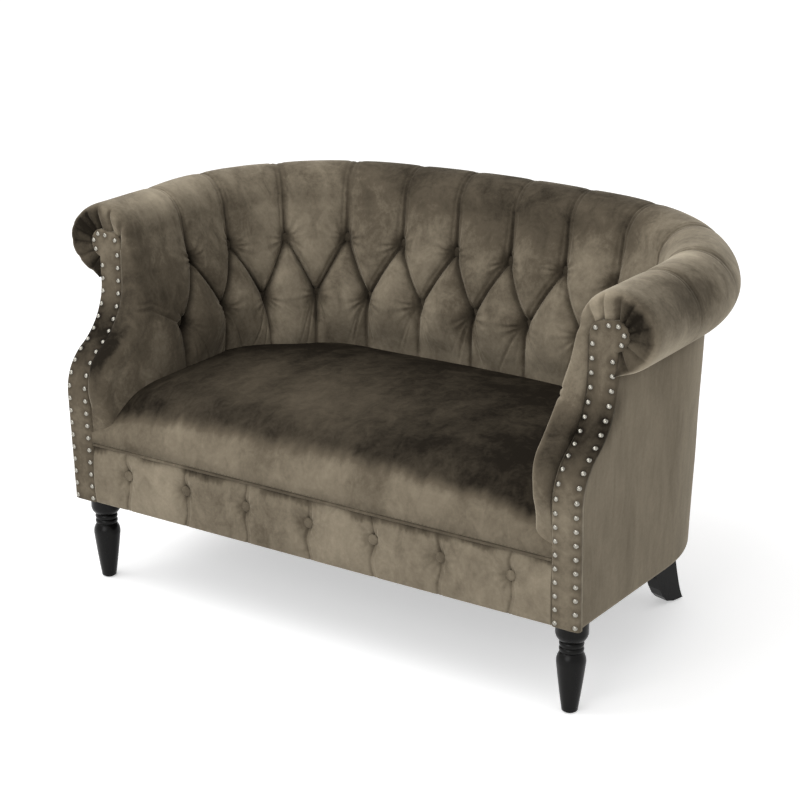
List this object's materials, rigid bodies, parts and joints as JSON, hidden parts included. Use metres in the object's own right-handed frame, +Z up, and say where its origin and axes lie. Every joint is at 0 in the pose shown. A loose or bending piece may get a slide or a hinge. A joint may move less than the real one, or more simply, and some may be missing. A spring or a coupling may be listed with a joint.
{
  "type": "tufted loveseat",
  "caption": "Low tub loveseat with deep button-tufted back and arms under a padded roll, a tight crowned seat, nailed ogee arm fronts, a buttoned border and dark legs.",
  "frame": {"origin": "centre of the bounding box in plan, on the floor under the glides", "axes": "+Z up, the seat's front faces -Y, +X is to the right as seen from the front"},
  "size_m": [1.1808, 0.7179, 0.7179],
  "materials": {
    "velvet": "short-pile velvet, taupe",
    "frame_wood": "unfinished hardwood",
    "fitting_steel": "zinc plated",
    "leg_lacquer": "black gloss lacquer",
    "inner_cloth": "non-woven cloth",
    "foam": "open-cell foam",
    "nail_nickel": "polished nickel",
    "glide_plastic": "moulded"
  },
  "bodies": {
    "root": {"tufted_padding": "velvet", "top_roll": "velvet", "seat_cushion": "velvet", "front_border": "velvet", "seat_welt": "velvet", "outside_cover": "velvet", "left_front_panel": "velvet", "right_front_panel": "velvet", "upper_back_buttons": "velvet", "lower_back_buttons": "velvet", "border_buttons": "velvet", "front_rail": "frame_wood", "back_rail": "frame_wood", "left_side_rail": "frame_wood", "right_side_rail": "frame_wood", "centre_stretcher": "frame_wood", "front_corner_blocks": "frame_wood", "rear_leg_blocks": "frame_wood", "left_arm_post": "frame_wood", "right_arm_post": "frame_wood", "back_uprights": "frame_wood", "left_arm_upright": "frame_wood", "right_arm_upright": "frame_wood", "back_top_rail": "frame_wood", "left_arm_top_rail": "frame_wood", "right_arm_top_rail": "frame_wood", "block_screws": "fitting_steel", "zigzag_springs": "fitting_steel", "spring_clips": "fitting_steel", "leg_plates": "fitting_steel", "leg_bolts": "fitting_steel", "plate_screws": "fitting_steel", "front_left_leg": "leg_lacquer", "front_right_leg": "leg_lacquer", "rear_left_leg": "leg_lacquer", "rear_right_leg": "leg_lacquer", "deck_cloth": "inner_cloth", "wall_lining": "inner_cloth", "dust_cover": "inner_cloth", "seat_foam": "foam", "left_panel_nails": "nail_nickel", "right_panel_nails": "nail_nickel", "foot_glides": "glide_plastic"}
  },
  "joints": []
}
